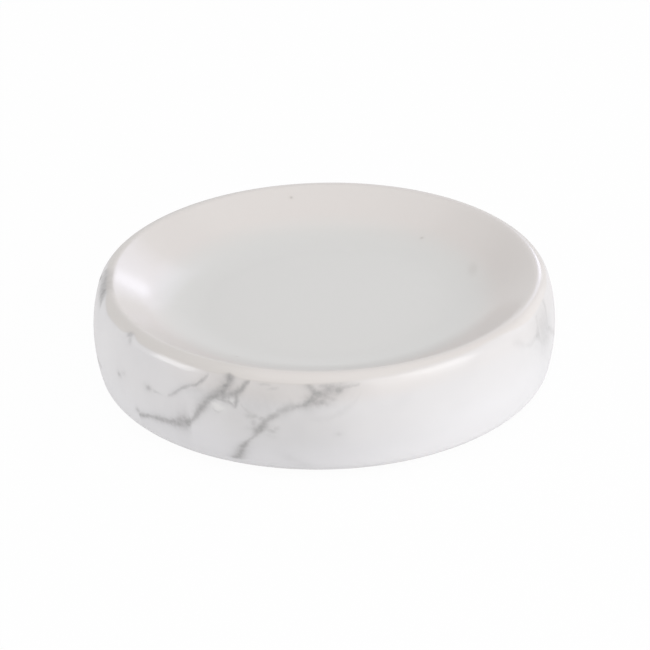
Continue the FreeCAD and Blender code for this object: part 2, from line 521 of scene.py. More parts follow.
FRONT_VEINS = (
    Vein.of(Run.AROUND, (-51.8, 7.0, 0.45, 0.85), (-50.3, 7.7, 0.45, 0.9), (-48, 8.5, 0.4, 0.75),
            (-45, 9.3, 0.55, 0.85), (-43, 9.6, 0.5, 0.9), (-40.5, 10.0, 0.5, 0.8), (-38.8, 10.2, 0.65, 0.9),
            (-37, 11.0, 1.0, 0.9), (-35.3, 11.5, 1.1, 0.95), (-34, 11.9, 0.8, 0.9)),
    Vein.of(Run.UPRIGHT, (-34.4, 11.6, 0.55, 0.5), (-33, 13.0, 0.5, 0.8), (-32, 14.3, 0.5, 0.8),
            (-31.2, 15.9, 0.65, 0.95), (-30.4, 17.3, 0.8, 1.0), (-29.5, 18.6, 0.8, 1.0),
            (-28.4, 19.8, 1.0, 1.0), (-26.6, 20.9, 1.5, 0.95), (-25.7, 21.9, 1.2, 1.0),
            (-24.7, 23.3, 0.85, 0.95), (-23.7, 24.7, 0.6, 1.0), (-23.4, 26.2, 0.6, 1.0),
            (-23.4, 27.5, 0.5, 1.0)),
    Vein.of(Run.AROUND, (-25, 21.5, 0.7, 0.7), (-23.4, 22.0, 0.6, 0.75), (-22, 22.3, 0.6, 1.0),
            (-20.6, 23.3, 0.6, 0.95), (-19.5, 24.7, 0.6, 0.85), (-18.5, 26.2, 0.5, 0.7)),
    Vein.of(Run.AROUND, (-28.3, 19.7, 0.3, 0.8), (-26.8, 20.2, 0.3, 0.75), (-25, 20.2, 0.3, 0.7),
            (-23.5, 20.1, 0.3, 0.7), (-22.4, 19.5, 0.3, 0.6), (-21.7, 19.0, 0.25, 0.5)),
    Vein.of(Run.UPRIGHT, (-21.7, 19.1, 0.3, 0.7), (-21.5, 20.5, 0.35, 0.8), (-21.6, 22.2, 0.5, 0.9)),
    Vein.of(Run.AROUND, (-40.2, 17.4, 0.25, 0.35), (-38.8, 18.4, 0.3, 0.5), (-37.2, 19.7, 0.32, 0.6),
            (-36, 20.7, 0.3, 0.6), (-34, 21.8, 0.3, 0.6), (-32.2, 22.7, 0.35, 0.65), (-30.9, 23.8, 0.4, 0.65),
            (-29.6, 25.3, 0.35, 0.5)),
    Vein.of(Run.AROUND, (-35, 20.9, 0.6, 0.16), (-32, 21.5, 0.7, 0.2), (-29, 21.1, 0.7, 0.22)),
    Vein.of(Run.UPRIGHT, (-22.1, 4.3, 0.9, 0.85), (-21.4, 5.3, 0.7, 0.95), (-20.8, 6.8, 0.7, 0.95),
            (-20.1, 8.2, 0.65, 0.85), (-19.3, 9.4, 0.5, 0.8), (-18.3, 10.4, 0.35, 0.55),
            (-17.3, 11.3, 0.35, 0.5), (-16.6, 12.5, 0.5, 0.65), (-15.8, 13.8, 0.85, 1.0),
            (-15.1, 14.9, 0.75, 0.95), (-14.4, 16.0, 0.6, 0.75), (-13.6, 17.0, 0.8, 0.8),
            (-12.4, 17.9, 0.8, 0.7), (-11.1, 18.9, 0.7, 0.6)),
    Vein.of(Run.AROUND, (-11.8, 18.6, 0.6, 0.5), (-10, 19.8, 0.7, 0.65), (-8.4, 20.5, 0.6, 0.6),
            (-7, 20.8, 0.35, 0.6), (-5.6, 21.1, 0.4, 0.8), (-4.6, 21.6, 0.6, 0.95), (-3.4, 22.3, 0.8, 0.95),
            (-2.2, 22.9, 0.8, 0.8), (0, 23.2, 0.5, 0.45), (2, 23.6, 0.4, 0.5), (3.2, 24.6, 0.5, 0.85),
            (4.2, 25.3, 0.3, 0.5), (6, 25.6, 0.25, 0.4), (7.8, 25.8, 0.2, 0.3)),
    Vein.of(Run.UPRIGHT, (-2.2, 23.2, 0.7, 0.9), (-2.9, 24.4, 0.65, 0.85), (-4.0, 25.6, 0.6, 0.75),
            (-4.7, 27.0, 0.4, 0.8)),
    Vein.of(Run.AROUND, (-1.6, 25.3, 0.35, 0.45), (0, 25.5, 0.5, 0.65), (2, 25.3, 0.5, 0.6),
            (3.4, 24.9, 0.6, 0.7)),
    Vein.of(Run.AROUND, (-3.5, 17.4, 0.6, 0.06), (0, 17.6, 0.5, 0.12), (2.6, 18.8, 0.5, 0.13),
            (4.8, 20.0, 0.6, 0.12), (7, 21.8, 0.5, 0.1), (8.4, 23.8, 0.5, 0.06)),
    Vein.of(Run.AROUND, (-20.2, 19.8, 0.3, 0.2), (-18.8, 18.4, 0.4, 0.3), (-17.5, 17.4, 0.5, 0.4)),
    Vein.of(Run.AROUND, (-28.0, 17.7, 0.2, 0.22), (-27, 17.0, 0.2, 0.3), (-26, 16.7, 0.2, 0.3),
            (-25, 17.3, 0.2, 0.2)),
    Vein.of(Run.AROUND, (-95, 27.5, 0.4, 0.6), (-90, 27.7, 0.5, 0.8), (-86, 27.4, 0.6, 0.95),
            (-82.5, 27.1, 0.7, 1.0), (-80, 26.5, 0.6, 0.95), (-78, 25.7, 0.4, 0.6)),
)
RIGHT_VEINS = (
    Vein.of(Run.UPRIGHT, (86, 10, 0.9, 0.25), (80, 13.8, 0.9, 0.3), (75, 17.0, 1.0, 0.38),
            (72.2, 19.6, 1.1, 0.5), (72.3, 22, 0.8, 0.42), (73.6, 24.8, 0.7, 0.42), (74, 27, 0.6, 0.35)),
    Vein.of(Run.UPRIGHT, (69.5, 16.2, 0.8, 0.25), (67, 17.6, 0.8, 0.35), (65.8, 19.5, 0.8, 0.32),
            (64.6, 21.3, 1.0, 0.55), (65.6, 23.2, 0.7, 0.32), (66.5, 25.3, 0.7, 0.32)),
    Vein.of(Run.AROUND, (53, 24, 0.5, 0.1), (55.3, 23.2, 0.6, 0.16), (58, 21.5, 0.5, 0.12),
            (60.4, 20.8, 0.5, 0.18), (63, 21.4, 0.5, 0.28), (65, 21.4, 0.7, 0.4)),
    Vein.of(Run.UPRIGHT, (98, 3, 0.6, 0.5), (100.5, 6, 0.7, 0.7), (103, 9, 0.5, 0.6), (104.5, 12, 0.9, 0.85),
            (107, 14.5, 0.8, 0.8), (110, 17, 0.6, 0.7), (112, 20, 1.0, 0.95), (113, 23, 0.8, 0.85),
            (112, 27.5, 0.6, 0.8)),
    Vein.of(Run.AROUND, (112.5, 19.5, 0.8, 0.8), (116, 17.8, 0.6, 0.7), (120, 16.9, 0.5, 0.7),
            (125, 17.2, 0.8, 0.8), (129, 15.4, 0.6, 0.6), (133, 14.6, 0.3, 0.4)),
    Vein.of(Run.AROUND, (88, 22.5, 0.3, 0.3), (92, 20.8, 0.3, 0.45), (97, 20.2, 0.3, 0.4),
            (101, 18.4, 0.3, 0.45), (105, 14.6, 0.3, 0.4)),
)
BACK_VEINS = (
    Vein.of(Run.UPRIGHT, (150, 2.5, 0.7, 0.6), (152, 6, 0.9, 0.9), (155, 9, 0.6, 0.8), (158, 11.5, 0.7, 0.8),
            (159, 14.5, 1.1, 0.95), (162, 17.5, 0.7, 0.8), (164, 20, 0.6, 0.7), (167, 22.3, 0.9, 0.85),
            (168, 24.5, 1.1, 0.9), (167, 27.5, 0.8, 0.8)),
    Vein.of(Run.AROUND, (159, 13.8, 0.9, 0.85), (163, 12.2, 0.6, 0.7), (168, 11.4, 0.5, 0.7),
            (172, 12, 0.7, 0.7), (175, 11.2, 0.4, 0.4)),
    Vein.of(Run.AROUND, (140, 24.5, 0.3, 0.4), (145, 23.2, 0.35, 0.55), (150, 22.6, 0.4, 0.6),
            (156, 20.4, 0.4, 0.55), (161.5, 17.4, 0.5, 0.6)),
)
LEFT_VEINS = (
    Vein.of(Run.UPRIGHT, (-128, 3, 0.6, 0.5), (-126, 6.5, 0.8, 0.8), (-123, 9.5, 0.5, 0.7),
            (-121.5, 13, 0.9, 0.9), (-118.5, 16, 0.7, 0.8), (-117, 19, 0.6, 0.7), (-113.5, 22, 1.1, 0.95),
            (-112, 24.5, 0.8, 0.85), (-112.5, 27.5, 0.6, 0.8)),
    Vein.of(Run.AROUND, (-149, 19.8, 0.3, 0.4), (-144, 18.5, 0.5, 0.6), (-139, 18.9, 0.5, 0.65),
            (-134, 17, 0.7, 0.75), (-129, 15.6, 0.5, 0.7), (-124, 14.2, 0.6, 0.7), (-121, 13.6, 0.6, 0.6)),
    Vein.of(Run.AROUND, (-113, 21.5, 0.5, 0.7), (-108, 20.2, 0.35, 0.55), (-103, 20.8, 0.4, 0.6),
            (-98, 23, 0.4, 0.6), (-94.5, 25.2, 0.5, 0.7), (-92, 26.4, 0.5, 0.7)),
    Vein.of(Run.AROUND, (-82, 8.5, 0.3, 0.3), (-77, 10.4, 0.35, 0.45), (-73, 10.8, 0.3, 0.35)),
)
GREY_PATCHES = (
    Blot(-52.3, 8.1, 0.9, 0.7, 30, 0.6),
    Blot(-24.9, 21.5, 3.4, 1.3, 8, 0.85),
    Blot(-24.2, 23.4, 1.6, 1.9, 0, 0.7),
    Blot(-25.6, 22.4, 1.2, 0.7, 70, 0.8),
    Blot(-21.5, 22.4, 1.5, 0.9, 20, 0.95),
    Blot(-28.0, 20.0, 1.2, 0.9, 40, 0.95),
    Blot(-26.4, 21.2, 1.5, 0.9, 35, 0.9),
    Blot(-47.2, 17.0, 1.1, 0.65, 0, 0.6),
    Blot(-44.6, 16.9, 1.8, 0.35, -5, 0.28),
    Blot(-59.8, 15.4, 1.0, 0.7, 10, 0.55),
    Blot(-57.6, 16.6, 1.4, 0.6, 25, 0.2),
    Blot(-57.6, 26.8, 1.2, 0.7, 20, 0.75),
    Blot(-56.6, 25.9, 0.9, 0.8, 0, 0.45),
    Blot(-17.4, 17.3, 1.7, 0.8, 0, 0.45),
    Blot(-17.2, 15.6, 0.9, 0.8, 0, 0.35),
    Blot(-15.4, 16.8, 1.0, 0.7, 0, 0.4),
    Blot(-15.5, 20.5, 6.5, 3.6, 20, 0.15),
    Blot(-13.0, 13.8, 1.1, 0.6, 0, 0.42),
    Blot(-11.8, 14.6, 0.8, 0.5, 30, 0.3),
    Blot(-13.5, 12.4, 1.8, 0.8, 0, 0.14),
    Blot(-14.6, 25.5, 1.4, 0.4, 0, 0.28),
    Blot(-12.6, 24.6, 1.4, 0.5, 15, 0.28),
    Blot(-3.1, 22.5, 1.5, 1.2, 0, 0.9),
    Blot(-1.4, 21.9, 2.2, 0.9, 0, 0.72),
    Blot(1.0, 22.7, 1.6, 0.8, 0, 0.5),
    Blot(-1.4, 23.5, 2.0, 1.4, 0, 0.88),
    Blot(0.2, 22.9, 1.6, 0.9, 0, 0.6),
    Blot(0.9, 24.6, 3.3, 1.5, 10, 0.75),
    Blot(2.6, 24.8, 1.4, 1.1, 10, 0.85),
    Blot(2.6, 13.5, 0.8, 0.5, 0, 0.22),
    Blot(-8.5, 6.0, 2.8, 1.3, -25, 0.14),
    Blot(-5.6, 4.4, 2.2, 1.0, -25, 0.14),
    Blot(70.0, 20.6, 5.2, 5.0, 0, 0.44),
    Blot(112, 21, 2.6, 1.8, 20, 0.55),
    Blot(126, 17, 2.2, 1.0, 0, 0.4),
    Blot(160, 14.3, 2.4, 1.6, 30, 0.5),
    Blot(168, 24, 2.6, 1.6, 0, 0.5),
    Blot(-114, 22.4, 2.8, 1.6, 30, 0.55),
    Blot(-121.8, 12.8, 2.0, 1.4, 60, 0.45),
)
PALE_PATCHES = (
    Blot(-26.5, 18.1, 1.9, 0.9, -8, 0.9),
    Blot(-22.6, 20.5, 0.6, 0.5, 0, 0.5),
    Blot(164, 15.4, 2.0, 1.2, 0, 0.8),
    Blot(-118.5, 13.4, 1.8, 1.2, 0, 0.8),
)


@dataclass(frozen=True)
class VeinedPrint:
    """The fired print on the wall: a cool white ground with soft, ragged grey veins.

    A span says where a tone starts and where it is full, in millimetres up or in levels of a noise.
    """

    ground: Colour = (0.785, 0.770, 0.777)
    cloud: Colour = (0.758, 0.743, 0.752)
    low: Colour = (0.785, 0.776, 0.795)
    warm: Colour = (0.775, 0.742, 0.732)
    pale: Colour = (0.88, 0.87, 0.855)
    grey: Colour = (0.345, 0.335, 0.335)
    # painted light: a lighter tone on the right front of the lower wall
    painted_light_right: Wash = Wash(
        tint=(0.830, 0.819, 0.835), left=(8.0, 40.0), right=(84.0, 54.0), heights=(22.0, 10.0),
        lean_heights=(11.0, 3.0), lean=18.0,
    )
    # darkens the print's ground a little over the front wall, from about 3 mm up
    front_darkening: Wash = Wash(
        tint=(0.915, 0.915, 0.910), left=(-30.0, -18.0), right=(14.0, -8.0), heights=(3.0, 12.0),
        lean_heights=(12.0, 20.0), lean=6.0, how=Mixing.STAIN,
    )
    cloud_grain: Grain = Grain(14.0, 2.0, 33.0)
    cloud_span: Span = (0.42, 0.68)
    low_span: Span = (16.0, 6.0)
    low_share: float = 0.8
    pale_share: float = 0.6
    pale_hold: float = 0.8
    coarse_grain: Grain = Grain(6.0, 2.0, 3.0)
    coarse_drift: float = 1.1
    fine_grain: Grain = Grain(1.5, 2.0, 8.0)
    fine_drift: float = 0.85
    torn_grain: Grain = Grain(3.2, 2.0, 15.0)
    torn_drift: float = 1.5
    mottle_grain: Grain = Grain(1.3, 3.0, 21.0)
    mottle_least: float = 0.4
    mottle_reach: float = 1.2
    widest: float = 2.0
    spread: float = 1.65
    falloff: float = 2.4
    depth: float = 0.8
    veins: tuple[Vein, ...] = FRONT_VEINS + RIGHT_VEINS + BACK_VEINS + LEFT_VEINS
    patches: tuple[Blot, ...] = GREY_PATCHES
    pale_patches: tuple[Blot, ...] = PALE_PATCHES

    def vein_mask(
        self, shader: Shader, vein: Vein, arc: Signal, height: Signal, degree: float, top: float
    ) -> Signal:
        """How strongly one vein shows at each point.

        Args:
            shader: the material.
            vein: the vein.
            arc: the place around the wall in millimetres from the front, already ragged.
            height: the height in millimetres, already ragged.
            degree: millimetres along the wall for one degree.
            top: the dish's height in millimetres.

        Returns:
            The vein's mask, from 0 to 1.
        """
        turn = FULL_TURN * degree
        stops = vein.faded()
        if vein.run is Run.AROUND:
            along, across = arc, height / top
            ends = stops[0].around * degree, stops[-1].around * degree
            places = [(stop.around * degree, stop.up / top) for stop in stops]
            full = top
        else:
            along, across = height, arc / turn + FRONT_SHARE
            ends = stops[0].up, stops[-1].up
            places = [(stop.up, share_of_turn(stop.around)) for stop in stops]
            full = turn
        ramp = [
            ((place - ends[0]) / (ends[1] - ends[0]), (level, stop.half_width / self.widest, stop.strength))
            for (place, level), stop in zip(places, stops)
        ]
        reading = shader.signal(
            "ShaderNodeMapRange", {}, {"Value": along, "From Min": ends[0], "From Max": ends[1]}, "Result"
        )
        centre, half_width, strength = shader.ramp(reading, ramp)
        off = abs(across - centre) / half_width * (full / self.widest / self.spread)
        return strength / (1.0 + off ** self.falloff)

    @staticmethod
    def ragged(shader: Shader, plane: Socket, grain: Grain, drift: float) -> Socket:
        """Make a place on the wall ragged.

        Args:
            shader: the material.
            plane: the place, millimetres around and up.
            grain: the noise that moves the place.
            drift: the most that it is moved from end to end, in millimetres.

        Returns:
            The moved place.
        """
        lumps = shader.noise(grain).outputs["Color"]
        half = (drift / 2.0, drift / 2.0, 0.0)
        middle = shader.node("ShaderNodeVectorMath", {"operation": "SUBTRACT"}, {0: plane, 1: half})
        moved = shader.node(
            "ShaderNodeVectorMath",
            {"operation": "MULTIPLY_ADD"},
            {0: lumps, 1: (drift, drift, 0.0), 2: middle.outputs[0]},
        )
        return moved.outputs[0]

    def colour(
        self, shader: Shader, around: Signal, height: Signal, warmth: Signal, belly_radius: float, top: float
    ) -> tuple[Socket, Signal]:
        """The print's colour.

        Args:
            shader: the material.
            around: degrees from the front.
            height: millimetres above the standing surface.
            warmth: how much of the rim's warm glaze shows through.
            belly_radius: the wall's widest radius in millimetres.
            top: the dish's height in millimetres.

        Returns:
            The colour's socket and how much of a vein each point has.
        """
        degree = math.radians(1.0) * belly_radius
        plane = shader.node("ShaderNodeCombineXYZ", {}, {"X": around * degree, "Y": height}).outputs[0]
        plane = self.ragged(shader, plane, self.coarse_grain, self.coarse_drift)
        plane = self.ragged(shader, plane, self.fine_grain, self.fine_drift)
        split = shader.node("ShaderNodeSeparateXYZ", {}, {0: plane})
        arc, height = Signal(shader, split.outputs[0]), Signal(shader, split.outputs[1])
        plane = self.ragged(shader, plane, self.torn_grain, self.torn_drift)
        masks = [self.vein_mask(shader, vein, arc, height, degree, top) for vein in self.veins]
        masks += [patch.mask(shader, plane, degree) for patch in self.patches]
        pale = strongest([patch.mask(shader, plane, degree) for patch in self.pale_patches])
        mottle = self.mottle_least + shader.level(self.mottle_grain) * self.mottle_reach
        shown = strongest(masks) * mottle * (1.0 - pale * self.pale_hold) * self.depth
        ground = shader.blend(shader.level(self.cloud_grain).rise(*self.cloud_span), self.ground, self.cloud)
        ground = shader.blend(height.rise(*self.low_span) * self.low_share, ground, self.low)
        # painted light on the right front of the lower wall
        ground = self.painted_light_right.over(shader, ground, around, height)
        ground = shader.blend(warmth, ground, self.warm)
        ground = self.front_darkening.over(shader, ground, around, height)
        ground = shader.blend(pale * self.pale_share, ground, self.pale)
        return shader.blend(shown, ground, self.grey), shown


@dataclass(frozen=True)
class Spot:
    """A point on the dish: millimetres right, back, up and from the axis, and radians from the front."""

    across: Signal
    deep: Signal
    height: Signal
    radius: Signal
    front: Signal

    @classmethod
    def of(cls, shader: Shader) -> "Spot":
        """Read where each point lies.

        Args:
            shader: the material.

        Returns:
            The point.
        """
        split = shader.node("ShaderNodeSeparateXYZ", {}, {0: shader.place})
        across, deep, height = (Signal(shader, split.outputs[index]) / METRES for index in range(3))
        front = shader.signal("ShaderNodeMath", {"operation": "ARCTAN2"}, {0: across, 1: deep * -1.0})
        return cls(across, deep, height, (across * across + deep * deep) ** 0.5, front)


@dataclass(frozen=True)
class GlazedCeramic:
    """The dish's finish: gloss glaze, warm on the rim, the print on the wall, and the wiped foot.

    The glaze is warm where it is thin, on the rim and the bowl's side, and plainer where it pools, on the
    bowl's floor, which also has only about half the gloss. It has a few specks and a faint smudge, and it is
    wiped off the foot. Painted shade darkens the rim's outer crest on the left and, faintly, the bowl's right
    side. All gloss weakens at glancing angles.

    A span says where something starts and where it is full: depths in millimetres below the rim's top, insets
    and radii in millimetres, and sides as shares of the widest radius, to the left below zero.
    """

    thin_glaze: Colour = (0.755, 0.716, 0.694)
    pooled_glaze: Colour = (0.743, 0.737, 0.722)
    floor_glaze: Colour = (0.764, 0.757, 0.742)
    # painted shade: a darker stripe along the rim's outer crest on the left side
    painted_crest_shade: Colour = (0.708, 0.676, 0.651)
    # the specks' colour, which also tints the painted shade on the bowl's right side
    speck_and_shade_tint: Colour = (0.42, 0.38, 0.35)
    rim_line: Colour = (0.60, 0.565, 0.54)
    bare_clay: Colour = (0.66, 0.61, 0.55)
    dark_clay: Colour = (0.594, 0.549, 0.495)
    pool_depths: Span = (4.5, 8.5)
    bowl_depths: Span = (12.0, 10.0)
    floor_radii: Span = (36.0, 25.0)
    crest_shade_depths: Span = (2.2, 1.2)
    crest_shade_radii: Span = (54.4, 55.6)
    crest_shade_sides: Span = (-0.22, -0.45)
    wave_grain: Grain = Grain(9.0, 1.0, 5.0)
    print_wave: float = 0.4
    print_edge: float = 0.35
    print_insets: Span = (6.0, 5.0)
    warm_span: Span = (6.5, 2.5)
    warm_left: Span = (-0.75, -0.4)
    warm_right: Span = (0.3, 0.6)
    warm_most: float = 0.95
    warm_fall: float = 0.5
    line_sides: Span = (0.15, -0.15)
    line_half_width: float = 0.2
    line_strength: float = 0.35
    glaze_foot: float = 2.0
    foot_wave: float = 0.5
    foot_edge: float = 0.25
    clay_grain: Grain = Grain(0.35, 3.0, 12.0)
    clay_relief: float = 0.05
    glaze_thickness: float = 0.06
    swell_grain: Grain = Grain(7.0, 1.0, 40.0)
    swell_relief: float = 0.02
    gloss_roughness: float = 0.16
    clay_roughness: float = 0.75
    body_roughness: float = 0.4
    glaze_ior: float = 1.5
    grazing_span: Span = (0.6, 0.94)
    grazing_loss: float = 0.7
    floor_loss: float = 0.45
    print_loss: float = 0.12
    veined: VeinedPrint = VeinedPrint()
    print_line: tuple[Span, ...] = (
        (-180, 26.6), (-120, 26.4), (-100, 27.4), (-92, 28.0), (-80, 27.9), (-72, 26.4), (-61, 26.3),
        (-57, 27.4), (-53, 26.4), (-40, 26.3), (-27, 26.2), (-24, 26.8), (-21, 26.1), (-8, 26.0), (24, 27.0),
        (50, 27.3), (62, 26.2), (74, 26.4), (110, 26.9), (150, 26.7), (180, 26.6),
    )
    specks_and_shade: tuple[Blot, ...] = (
        Blot(39.5, 13.2, 1.3, 3.0, 0, 0.19),
        # painted shade: a faint, broad darkening over the bowl's right side
        Blot(47.5, 6.0, 6.5, 20.0, 0, 0.13),
        Blot(-8.3, 50.5, 0.35, 0.3, 0, 0.5),
        Blot(26.8, 32.7, 0.4, 0.35, 0, 0.4),
        Blot(-22.0, -31.0, 0.3, 0.25, 0, 0.3),
    )

    def edge_height(self, shader: Shader, front: Signal, waves: Signal, top: float) -> Signal:
        """The height of the print's upper edge, which wanders up and down round the rim.

        Args:
            shader: the material.
            front: radians from the front.
            waves: a soft noise about zero.
            top: the dish's height in millimetres.

        Returns:
            The height in millimetres.
        """
        stops = [(share_of_turn(turn), (level / top, 0.0, 0.0)) for turn, level in self.print_line]
        level = shader.ramp(front / math.tau + FRONT_SHARE, stops)[0]
        return level * top + waves * self.print_wave

    def glaze(
        self, shader: Shader, spot: Spot, side: Signal, in_bowl: Signal, on_floor: Signal, top: float
    ) -> Socket:
        """The colour of the plain glaze on the rim and in the bowl, with its specks and painted shade.

        Args:
            shader: the material.
            spot: where each point lies.
            side: the place across as a share of the widest radius.
            in_bowl: where the bowl is.
            on_floor: where the bowl's floor is.
            top: the dish's height in millimetres.

        Returns:
            The colour's socket.
        """
        pooled = spot.height.rise(*short_of(top, self.pool_depths))
        glaze = shader.blend(pooled, self.thin_glaze, self.pooled_glaze)
        glaze = shader.blend(on_floor, glaze, self.floor_glaze)
        # painted shade along the rim's outer crest, on the left side only
        crest_shade = spot.height.rise(*short_of(top, self.crest_shade_depths)) * spot.radius.rise(*self.crest_shade_radii)
        glaze = shader.blend(crest_shade * side.rise(*self.crest_shade_sides), glaze, self.painted_crest_shade)
        plan = shader.node("ShaderNodeCombineXYZ", {}, {"X": spot.across, "Y": spot.deep}).outputs[0]
        # the specks and the smudge are the glaze's own; the broad mark on the bowl's right side is painted
        # shade
        specks_and_shade = strongest([mark.mask(shader, plan) for mark in self.specks_and_shade])
        return shader.blend(specks_and_shade * in_bowl, glaze, self.speck_and_shade_tint)

    def material(self, belly_radius: float, top: float) -> bpy.types.Material:
        """Make the material.

        Args:
            belly_radius: the wall's widest radius in millimetres.
            top: the dish's height in millimetres.

        Returns:
            The material.
        """
        shader = Shader("glazed_ceramic")
        spot = Spot.of(shader)
        side = spot.across / belly_radius
        waves = shader.level(self.wave_grain) - NOISE_MIDDLE

        edge = self.edge_height(shader, spot.front, waves, top)
        below_edge = edge - spot.height
        outside = spot.radius.rise(*short_of(belly_radius, self.print_insets))
        printed = below_edge.rise(-self.print_edge, self.print_edge) * outside
        warmth = below_edge.rise(*self.warm_span) * side.rise(*self.warm_left)
        warmth = warmth * (self.warm_most - side.rise(*self.warm_right) * self.warm_fall)
        around = spot.front * math.degrees(1.0)
        veined, shown = self.veined.colour(shader, around, spot.height, warmth, belly_radius, top)

        in_bowl = spot.height.rise(*short_of(top, self.bowl_depths))
        on_floor = spot.radius.rise(*self.floor_radii) * in_bowl
        glaze = self.glaze(shader, spot, side, in_bowl, on_floor, top)
        colour = shader.blend(printed, glaze, veined)
        line = outside * side.rise(*self.line_sides) * self.line_strength
        line = line / (1.0 + (abs(below_edge) / self.line_half_width) ** 2.0)
        colour = shader.blend(line, colour, self.rim_line)

        foot = spot.height + waves * self.foot_wave
        bare = foot.rise(self.glaze_foot + self.foot_edge, self.glaze_foot - self.foot_edge)
        clay_grain = shader.level(self.clay_grain)
        colour = shader.blend(bare, colour, shader.blend(clay_grain, self.bare_clay, self.dark_clay))

        facing = shader.signal("ShaderNodeLayerWeight", {}, {"Blend": 0.5}, "Facing")
        gloss = 1.0 - facing.rise(*self.grazing_span) * self.grazing_loss
        gloss = gloss * (1.0 - on_floor * self.floor_loss)
        gloss = gloss * (1.0 - bare) * (1.0 - shown * printed * self.print_loss)
        relief = shader.level(self.swell_grain) * self.swell_relief
        relief = relief + bare * (clay_grain * self.clay_relief - self.glaze_thickness)
        return shader.dress(
            Base_Color=colour,
            Roughness=self.body_roughness + bare * (self.clay_roughness - self.body_roughness),
            Specular_IOR_Level=0.0,
            Coat_Weight=gloss,
            Coat_Roughness=self.gloss_roughness,
            Coat_IOR=self.glaze_ior,
            Normal=shader.bump(relief),
        )


class Outline:
    """Points of a half section, millimetres from the axis and up, laid along arcs and lines."""

    FEWEST_ARC_STEPS = 4
    LINE_STEP_SCALE = 2.0
    SAME_POINT = 1e-4

    def __init__(self, step: float) -> None:
        """Start with no points.

        Args:
            step: about how far apart the points on an arc lie.
        """
        self.step = step
        self.points: list[tuple[float, float]] = []

    def arc(self, centre: tuple[float, float], radius: float, start: float, end: float) -> None:
        """Lay points along an arc.

        Args:
            centre: the arc's centre.
            radius: its radius.
            start: the angle where it starts, in degrees from straight outwards.
            end: the angle where it ends.
        """
        steps = max(self.FEWEST_ARC_STEPS, math.ceil(math.radians(abs(end - start)) * radius / self.step))
        for number in range(steps + 1):
            angle = start + (end - start) * number / steps
            self.add((centre[0] + radius * cosine(angle), centre[1] + radius * sine(angle)))

    def line(self, point: tuple[float, float]) -> None:
        """Lay points along a line from the last point to a new one.

        Args:
            point: where the line ends.
        """
        last = self.points[-1]
        steps = max(1, math.ceil(math.dist(last, point) / (self.LINE_STEP_SCALE * self.step)))
        for number in range(1, steps + 1):
            share = number / steps
            self.add((last[0] + (point[0] - last[0]) * share, last[1] + (point[1] - last[1]) * share))

    def add(self, point: tuple[float, float]) -> None:
        """Add a point unless it repeats the last one."""
        if not self.points or math.dist(self.points[-1], point) > self.SAME_POINT:
            self.points.append(point)


def turned_mesh(name: str, points: Sequence[tuple[float, float]], steps: int) -> bpy.types.Mesh:
    """Turn a closed half section, which starts and ends on the axis, about the vertical axis.

    Args:
        name: the mesh's name.
        points: the section's points in millimetres, the first and last on the axis.
        steps: how many steps the turn has.

    Returns:
        The mesh, in metres, smooth and facing outwards.
    """
    ring_points = points[1:-1]
    vertices: list[Vector] = []
    for radius, height in ring_points:
        for step in range(steps):
            angle = math.tau * step / steps
            vertices.append(Vector((radius * math.cos(angle), radius * math.sin(angle), height)) * METRES)
    first, last = len(vertices), len(vertices) + 1
    vertices += [Vector((0.0, 0.0, points[0][1])) * METRES, Vector((0.0, 0.0, points[-1][1])) * METRES]
    faces: list[tuple[int, ...]] = []
    for ring in range(len(ring_points) - 1):
        low, high = ring * steps, (ring + 1) * steps
        for step in range(steps):
            after = (step + 1) % steps
            faces.append((low + step, low + after, high + after, high + step))
    top = (len(ring_points) - 1) * steps
    for step in range(steps):
        after = (step + 1) % steps
        faces.append((first, after, step))
        faces.append((last, top + step, top + after))
    mesh = bpy.data.meshes.new(name)
    mesh.from_pydata([tuple(vertex) for vertex in vertices], [], faces)
    mesh.validate()
    mesh.shade_smooth()
    return mesh


